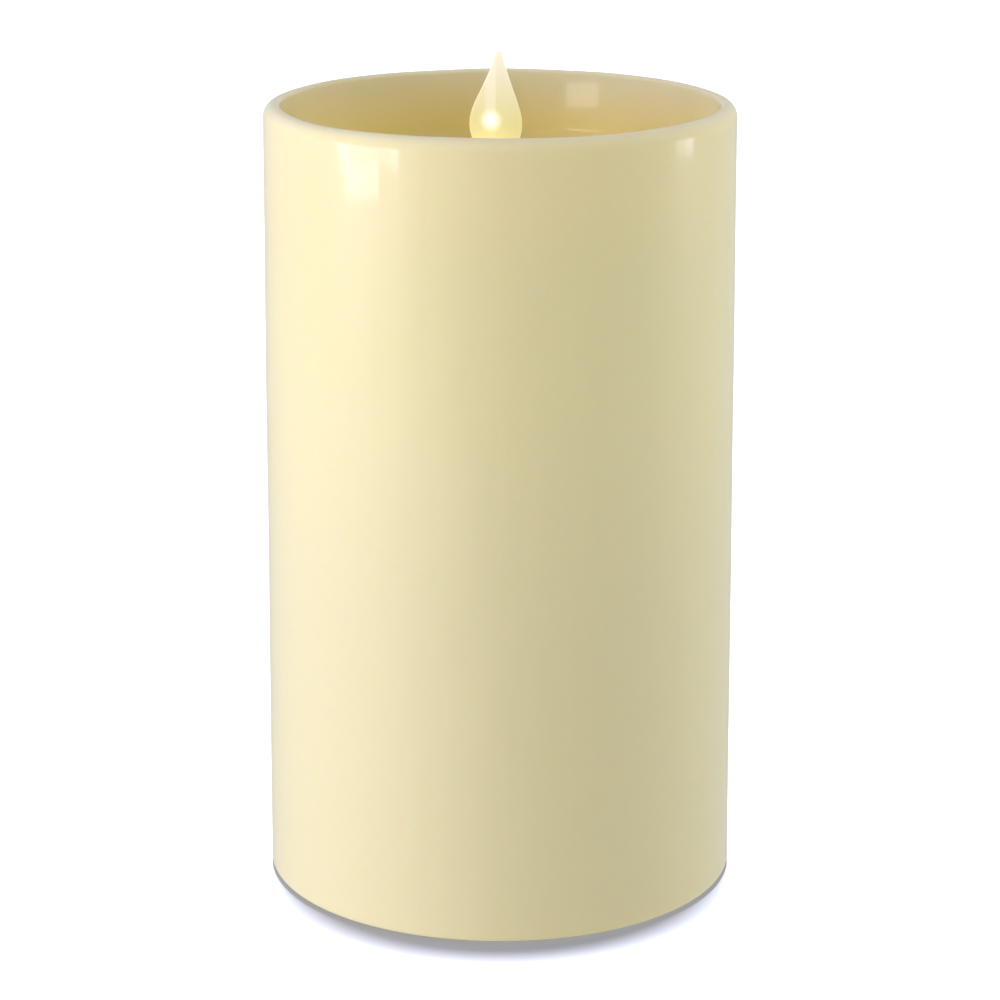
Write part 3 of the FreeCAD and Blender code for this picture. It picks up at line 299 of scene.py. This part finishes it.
def metal_material(name, colour, roughness, stretch=(40, 40, 1500)):
    """Drawn or plated metal with fine lines along one direction."""
    metal = Material(name, Metallic=1.0)
    lines = metal.noise(1.0, detail=2.0, vector=metal.stretched(stretch))
    metal.colour(metal.mix(metal.spread(lines), colour, tinted(colour, 0.86)))
    metal.put(metal.shader.inputs["Roughness"], metal.spread(lines, roughness, roughness + 0.14))
    metal.bump(lines, 0.25, 0.02 * MM)
    return metal.material


def rubber_material():
    """Moulded rubber feet: matt, with dusty patches."""
    rubber = Material("foot_rubber", IOR=1.45)
    dust = rubber.ramp(rubber.noise(250, detail=4.0), 0.45, 0.75)
    rubber.colour(rubber.mix(dust, rgb(0.022, 0.022, 0.024), rgb(0.060, 0.058, 0.054)))
    rubber.put(rubber.shader.inputs["Roughness"], rubber.ramp(dust, 0.0, 1.0, 0.62, 0.85))
    rubber.bump(rubber.noise(1800), 0.5, 0.03 * MM)
    return rubber.material


def cell_material(name, node, nub_sign):
    """A cell's printed sleeve in two plain bands, with bare plated steel at both ends."""
    low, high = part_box(node)
    cell = Material(name, Roughness=0.28, IOR=1.5)
    along = cell.axis("Y")
    nub, tail = (high.y, low.y) if nub_sign > 0 else (low.y, high.y)
    sleeve_end = nub - nub_sign * 2.2 * MM
    sleeve_start = tail + nub_sign * 0.5 * MM
    band_edge = nub - nub_sign * 15 * MM
    edge = 0.05 * MM
    band = cell.ramp(along, band_edge - edge, band_edge + edge)
    if nub_sign < 0:
        band = cell.math("SUBTRACT", 1.0, band)
    grain = cell.spread(cell.noise(500), 0.92, 1.0)
    body, collar = rgb(0.020, 0.030, 0.040), rgb(0.62, 0.30, 0.08)
    sleeve = cell.mix(band, body, collar)
    shaded = cell.node("ShaderNodeMix", data_type="RGBA", blend_type="MULTIPLY")
    shaded.inputs["Factor"].default_value = 1.0
    cell.link(sleeve, shaded.inputs["A"])
    cell.link(grain, shaded.inputs["B"])
    middle = (sleeve_end + sleeve_start) / 2
    half = abs(sleeve_end - sleeve_start) / 2
    from_middle = cell.math("ABSOLUTE", cell.math("SUBTRACT", along, middle))
    bare = cell.ramp(from_middle, half - edge, half + edge)
    cell.colour(cell.mix(bare, shaded.outputs["Result"], rgb(0.74, 0.73, 0.70)))
    cell.put(cell.shader.inputs["Metallic"], bare)
    cell.bump(cell.noise(900), 0.15, 0.02 * MM)
    return cell.material


def winding_material():
    """Enamelled copper wire, turn beside turn."""
    copper = Material("copper_wire", Metallic=1.0, Coat_Weight=0.6)
    wave = copper.node("ShaderNodeTexWave", bands_direction="Z")
    wave.inputs["Scale"].default_value = 480
    wave.inputs["Distortion"].default_value = 0.6
    copper.link(copper.coordinates, wave.inputs["Vector"])
    # painted shade: darker in the grooves between the turns, brighter on their crests
    copper.colour(copper.mix(wave.outputs["Fac"], rgb(0.38, 0.12, 0.04), rgb(0.85, 0.36, 0.14)))
    gloss_between_turns = copper.ramp(wave.outputs["Fac"], 0.0, 1.0, 0.42, 0.24)
    copper.put(copper.shader.inputs["Roughness"], gloss_between_turns)
    copper.bump(wave.outputs["Fac"], 0.8, 0.06 * MM)
    return copper.material


def board_material():
    """Green solder mask over copper tracks, on a glass-fibre board."""
    board = Material("solder_mask", IOR=1.5)
    tracks = board.node("ShaderNodeTexBrick", offset=0.5)
    tracks.inputs["Scale"].default_value = 320
    tracks.inputs["Mortar Size"].default_value = 0.08
    tracks.inputs["Color1"].default_value = rgb(0.010, 0.110, 0.035)
    tracks.inputs["Color2"].default_value = rgb(0.012, 0.130, 0.042)
    tracks.inputs["Mortar"].default_value = rgb(0.030, 0.210, 0.070)
    board.link(board.coordinates, tracks.inputs["Vector"])
    patches = board.ramp(board.noise(400), 0.4, 0.8, 0.0, 0.3)
    board.colour(board.mix(patches, tracks.outputs["Color"], rgb(0.006, 0.070, 0.024)))
    board.put(board.shader.inputs["Roughness"], board.spread(board.noise(700), 0.25, 0.4))
    board.bump(tracks.outputs["Fac"], 0.4, 0.03 * MM)
    return board.material


def assign(material, *names):
    for name in names:
        piece = nodes[name]
        piece.data.materials.clear()
        piece.data.materials.append(material)


# ---------------------------------------------------------------- mesh helpers


def mesh_object(name, vertices, faces, materials, indices=None):
    mesh = bpy.data.meshes.new(name)
    mesh.from_pydata(vertices, [], faces)
    mesh.validate()
    piece = bpy.data.objects.new(name, mesh)
    bpy.context.scene.collection.objects.link(piece)
    for material in materials:
        mesh.materials.append(material)
    for index, polygon in enumerate(mesh.polygons):
        polygon.use_smooth = True
        polygon.material_index = indices[index] if indices else 0
    return piece


def arc(centre, radius, start, end, steps):
    """Points of an arc in the (radius, height) plane, angles in degrees."""
    points = []
    for step in range(steps + 1):
        angle = math.radians(start + (end - start) * step / steps)
        points.append((centre[0] + radius * math.cos(angle), centre[1] + radius * math.sin(angle)))
    return points


def run(start, end, steps):
    """Points from start to end, without the two ends."""
    return [tuple(a + (b - a) * k / steps for a, b in zip(start, end)) for k in range(1, steps)]


# ---------------------------------------------------------------- wax pillar


def wax_profile():
    """The closed section of the pillar, as (radius, height) points, outside bottom edge first."""
    outer, inner, foot = 2.7 * MM, 0.9 * MM, 1.2 * MM
    recess, lip = 6.0 * MM, 1.6 * MM
    draft = (WAX_RADIUS - RIM_RADIUS) / (RIM_HEIGHT - WAX_FOOT)
    points = arc((WAX_RADIUS - foot, WAX_FOOT + foot), foot, -90, 0, 6)
    points[-1] = (WAX_RADIUS - foot * draft, WAX_FOOT + foot)
    points += run(points[-1], (RIM_RADIUS + outer * draft, RIM_HEIGHT - outer), 90)
    points += arc((RIM_RADIUS - outer, RIM_HEIGHT - outer), outer, 0, 90, 14)
    points += arc((RIM_BORE + inner, RIM_HEIGHT - inner), inner, 90, 180, 8)
    points += run(points[-1], (RIM_BORE, RECESS_FLOOR + recess), 14)
    points += arc((RIM_BORE - recess, RECESS_FLOOR + recess), recess, 0, -90, 14)
    points += run(points[-1], (HOLE_RADIUS + lip, HOLE_TOP), 24)
    points += arc((HOLE_RADIUS + lip, HOLE_TOP - lip), lip, 90, 180, 6)
    points += run(points[-1], (HOLE_RADIUS, WAX_UNDERSIDE), 4)
    points += [(HOLE_RADIUS, WAX_UNDERSIDE)]
    points += run(points[-1], (WAX_BORE, WAX_UNDERSIDE), 8)
    points += [(WAX_BORE, WAX_UNDERSIDE)]
    points += run(points[-1], (WAX_BORE, WAX_FOOT), 30)
    points += [(WAX_BORE, WAX_FOOT)]
    return points


def uneven(radius, height, angle):
    """How far a poured surface's small waves draw a point in towards the axis, and down."""
    wave_depth, sag_depth, sag_reach = 0.12 * MM, 0.22 * MM, 12 * MM
    waves_round, waves_up, elsewhere = 1.4, 22, Vector((7, 3, 0))
    direction = Vector((math.cos(angle), math.sin(angle), 0)) * waves_round
    slow = 1 - noise.noise(direction + Vector((0, 0, height * waves_up)))
    outward = max(0.0, min(1.0, (radius - RIM_BORE - 0.5 * MM) / (2.5 * MM)))
    sag = 1 - noise.noise(direction * 1.7 + elsewhere)
    upward = max(0.0, min(1.0, (height - RIM_HEIGHT + sag_reach) / sag_reach))
    return wave_depth * slow * outward, sag_depth * sag * upward


def make_wax(material):
    """The pillar, its section swept round the axis with the small waves of a poured surface."""
    profile = wax_profile()
    segments = 288
    vertices, faces = [], []
    for step in range(segments):
        angle = TURN * step / segments
        for radius, height in profile:
            sink, sag = uneven(radius, height, angle)
            reach = radius - sink
            vertices.append((reach * math.cos(angle), reach * math.sin(angle), height - sag))
    count = len(profile)
    for step in range(segments):
        this, following = step * count, (step + 1) % segments * count
        for k in range(count):
            after = (k + 1) % count
            faces.append((this + k, following + k, following + after, this + after))
    wax = mesh_object("wax_pillar", vertices, faces, [material])
    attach(wax, "candle")
    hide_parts("wax_shell")
    return wax


# ---------------------------------------------------------------- flame leaf


def finish_leaf(face, border):
    """The CAD leaf, welded, with a narrow bevelled border in its own material."""
    leaf = nodes["flame_leaf"]
    assign(face, "flame_leaf")
    leaf.data.materials.append(border)
    weld = leaf.modifiers.new("weld", "WELD")
    weld.merge_threshold = 0.005 * MM
    bevel = leaf.modifiers.new("border", "BEVEL")
    bevel.limit_method = "ANGLE"
    bevel.angle_limit = math.radians(50)
    bevel.width = 0.5 * MM
    bevel.segments = 2
    bevel.material = 1


# ---------------------------------------------------------------- build

pillar = make_wax(wax_material())
# both carry painted glow; the border's is painted brighter and paler, a painted highlight on the edge
finish_leaf(leaf_material("leaf_face", 0.53, rgb(0.42, 0.37, 0.24), 0.0),
            leaf_material("leaf_border", 0.93, rgb(0.64, 0.60, 0.46), 0.85))

cap_plastic = plastic_material("cap_plastic", rgb(0.80, 0.70, 0.45), 0.4)
base_plastic = plastic_material("base_plastic", rgb(0.76, 0.68, 0.46), 0.48, grain=700, depth=0.05)
case_plastic = plastic_material("case_plastic", rgb(0.62, 0.58, 0.46), 0.5)
black_plastic = plastic_material("black_plastic", rgb(0.020, 0.020, 0.022), 0.4)
steel = metal_material("zinc_steel", rgb(0.62, 0.62, 0.63), 0.28)
nickel = metal_material("nickel_plate", rgb(0.78, 0.76, 0.72), 0.16, (900, 900, 30))
assign(cap_plastic, "flame_cap")
assign(base_plastic, "base_housing", "battery_door")
assign(case_plastic, "support_column", "module_case_left", "module_case_right")
assign(black_plastic, "switch_knob", "coil_bobbin", "controller_chip", "capacitor", "resistors",
       "led_holder")
assign(steel, "switch_case", "switch_pins", "switch_screws", "column_screws", "module_screws",
       "case_screws", "pivot_wire", "led_legs")
assign(nickel, "pendulum_magnet", "contact_positive", "contact_negative", "contact_link",
       "spring_negative", "spring_link")
assign(rubber_material(), "foot_1", "foot_2", "foot_3", "foot_4")
assign(cell_material("cell_left", "battery_1", 1), "battery_1")
assign(cell_material("cell_right", "battery_2", -1), "battery_2")
assign(winding_material(), "coil_winding")
assign(board_material(), "circuit_board")
assign(clear_material(), "led_lamp")
assign(plastic_material("vinyl_black", rgb(0.016, 0.016, 0.016), 0.35), "lead_negative")
assign(plastic_material("vinyl_red", rgb(0.42, 0.016, 0.012), 0.35), "lead_positive")
assign(plastic_material("vinyl_yellow", rgb(0.62, 0.42, 0.03), 0.35), "lead_switched")

# ---------------------------------------------------------------- floor, lights and camera


def make_floor():
    """Pale blue-grey paper: the wax's yellow bounce on it leaves the contact shadow neutral."""
    paper = Material(
        "floor_paper",
        Roughness=0.8,
        Emission_Color=rgb(0.69, 0.72, 1.0),
        Emission_Strength=0.13,
    )
    tone = paper.spread(paper.noise(3))
    paper.colour(paper.mix(tone, rgb(0.56, 0.585, 0.70), rgb(0.55, 0.575, 0.69)))
    reach = 6.0
    corners = [(-reach, -reach, 0), (reach, -reach, 0), (reach, reach, 0), (-reach, reach, 0)]
    floor = mesh_object("floor", corners, [(0, 1, 2, 3)], [paper.material])
    floor.visible_diffuse = False
    floor.visible_glossy = False
    floor.visible_shadow = False
    return floor


def area_light(name, azimuth, elevation, distance, size, power, colour=(1, 1, 1), aim=(0, 0, 0)):
    """A rectangular softbox, placed from its aim. Azimuth 0 is the front, and + is to the right."""
    a, e = math.radians(azimuth), math.radians(elevation)
    toward = Vector((math.sin(a) * math.cos(e), -math.cos(a) * math.cos(e), math.sin(e)))
    data = bpy.data.lights.new(name, "AREA")
    data.shape = "RECTANGLE"
    data.size, data.size_y = size
    data.energy = power
    data.color = colour
    lamp = bpy.data.objects.new(name, data)
    bpy.context.scene.collection.objects.link(lamp)
    lamp.location = Vector(aim) + toward * distance
    lamp.rotation_euler = (-toward).to_track_quat("-Z", "Y").to_euler()
    return lamp


def only_lights(lamp, *targets):
    """Limits a light to some objects, as a flag on a studio lamp does."""
    chosen = bpy.data.collections.new(lamp.name + "_targets")
    for target in targets:
        chosen.objects.link(target)
    lamp.light_linking.receiver_collection = chosen


def keep_off(lamp, *targets):
    """Takes some objects out of a light's reach."""
    spared = bpy.data.collections.new(lamp.name + "_spared")
    for target in targets:
        spared.objects.link(target)
    lamp.light_linking.receiver_collection = spared
    for entry in spared.collection_objects:
        entry.light_linking.link_state = "EXCLUDE"


def around(azimuth, radius, height):
    """A point that far from the candle's axis. Azimuth 0 is the front, + is to the right."""
    turn = math.radians(azimuth)
    return Vector((radius * math.sin(turn), -radius * math.cos(turn), height))


def reflected_card(name, place, aim, size, power, colour=(0.80, 0.82, 1.0)):
    """A small softbox that is seen only as a reflection in the wax."""
    card = area_light(name, 0, 0, 0, size, power, colour, aim=place)
    card.rotation_euler = (aim - place).to_track_quat("-Z", "Y").to_euler()
    card.visible_camera = False
    card.visible_diffuse = False
    card.visible_transmission = False
    only_lights(card, pillar)


def make_overhead(floor):
    """A small light, nearly overhead: only a narrow contact shadow falls before the pillar."""
    data = bpy.data.lights.new("overhead", "SUN")
    data.energy = 7.9
    data.angle = math.radians(4.8)
    overhead = bpy.data.objects.new("overhead", data)
    bpy.context.scene.collection.objects.link(overhead)
    overhead.rotation_euler = (math.radians(-3.5), 0, 0)
    only_lights(overhead, floor)


def make_softboxes(floor):
    """The studio's broad lights. They light the candle only, and no reflection shows them."""
    # name, azimuth, elevation, distance, (width, height), watts and colour
    for softbox in (
        area_light("key", -54, 5, 1.3, (0.6, 1.2), 10.5, (1.0, 0.965, 1.0), aim=(0, 0, 0.11)),
        area_light("key_high", -72, 8, 0.6, (0.3, 0.3), 2.2, (0.56, 0.58, 1.0), aim=(0, 0, 0.14)),
        area_light("fill", 84, 8, 0.6, (0.25, 0.35), 2.1, (0.83, 0.87, 1.0), aim=(0, 0, 0.15)),
        area_light("top", 15, 80, 1.0, (0.6, 0.6), 1.0, (1.0, 0.95, 0.98), aim=(0, 0, 0.17)),
        area_light("table", 0, -80, 0.6, (0.8, 0.8), 1.3, (1.0, 0.97, 0.98)),
        area_light("back", 165, 10, 1.3, (0.8, 1.2), 7.0, aim=(0, 0, 0.10)),
    ):
        softbox.visible_camera = False
        softbox.visible_glossy = False
        keep_off(softbox, floor)


def make_reflections():
    """The windows that the glossy wax mirrors below its rim, and one glint on the recess's wall."""
    card_radius = 0.435
    rim_zone = Vector((0, 0, RIM_HEIGHT - 10 * MM))
    # name, azimuth, height, (width, height) and watts
    for name, azimuth, height, size, power in (
        ("window", -63, 0.1286, (0.257, 0.063), 0.21),
        ("window_sill", -66, 0.0925, (0.147, 0.0117), 0.040),
        ("window_left_edge", -76, 0.1270, (0.045, 0.065), 0.032),
        ("window_right_edge", -48, 0.1286, (0.034, 0.063), 0.024),
        ("far_window", 97, 0.1185, (0.055, 0.043), 0.034),
        ("far_window_edge", 90, 0.1185, (0.035, 0.043), 0.014),
    ):
        reflected_card(name, around(azimuth, card_radius, height), rim_zone, size, power)
    back_wall = around(156, RIM_BORE, RIM_HEIGHT - 5.4 * MM)
    reflected_card("inner_glint", around(-93, 24 * MM, RIM_HEIGHT - 14.6 * MM), back_wall,
                   (0.012, 0.006), 0.0010, (1.0, 0.98, 0.92))


def make_lamp_glow():
    """The lamp's warm light in the recess, round the leaf's foot."""
    data = bpy.data.lights.new("lamp_glow", "POINT")
    data.energy = 0.005
    data.color = (1.0, 0.88, 0.45)
    data.shadow_soft_size = 4 * MM
    lamp = bpy.data.objects.new("lamp_glow", data)
    bpy.context.scene.collection.objects.link(lamp)
    lamp.location = (-2.5 * MM, -4.5 * MM, RIM_HEIGHT - 14 * MM)
    lamp.visible_glossy = False
    lamp.visible_camera = False


def make_world():
    """Soft light all round. The camera sees it white, and the wax's edges mirror it in part."""
    world = bpy.data.worlds.new("studio")
    world.use_nodes = True
    tree = world.node_tree
    ambient = tree.nodes["Background"]
    ambient.inputs["Color"].default_value = rgb(1.0, 0.985, 0.97)
    ambient.inputs["Strength"].default_value = 0.37
    white = tree.nodes.new("ShaderNodeBackground")
    white.inputs["Strength"].default_value = 1.0
    seen = tree.nodes.new("ShaderNodeLightPath")
    whiteness = tree.nodes.new("ShaderNodeMath")
    whiteness.operation = "MULTIPLY_ADD"
    tree.links.new(seen.outputs["Is Glossy Ray"], whiteness.inputs[0])
    whiteness.inputs[1].default_value = 0.6
    tree.links.new(seen.outputs["Is Camera Ray"], whiteness.inputs[2])
    blend = tree.nodes.new("ShaderNodeMixShader")
    tree.links.new(whiteness.outputs["Value"], blend.inputs["Fac"])
    tree.links.new(ambient.outputs["Background"], blend.inputs[1])
    tree.links.new(white.outputs["Background"], blend.inputs[2])
    tree.links.new(blend.outputs["Shader"], tree.nodes["World Output"].inputs["Surface"])
    bpy.context.scene.world = world


def make_camera():
    """A long lens before the candle, looking down a little. Lengths are in pillar radii."""
    pitch = math.radians(15.8)
    distance = 14.08 * WAX_RADIUS
    aim = Vector((0, 0, 1.6205 * WAX_RADIUS))
    data = bpy.data.cameras.new("camera")
    data.sensor_width = 36
    data.lens = 3.3 * data.sensor_width
    data.clip_start, data.clip_end = 0.01, 50
    camera = bpy.data.objects.new("camera", data)
    bpy.context.scene.collection.objects.link(camera)
    toward_front = Vector((0, -math.cos(pitch), math.sin(pitch)))
    camera.location = aim + toward_front * distance
    camera.rotation_euler = (-toward_front).to_track_quat("-Z", "Y").to_euler()
    bpy.context.scene.camera = camera
    bpy.context.scene.view_settings.view_transform = "Standard"


floor = make_floor()
make_overhead(floor)
make_softboxes(floor)
make_reflections()
make_lamp_glow()
make_world()
make_camera()
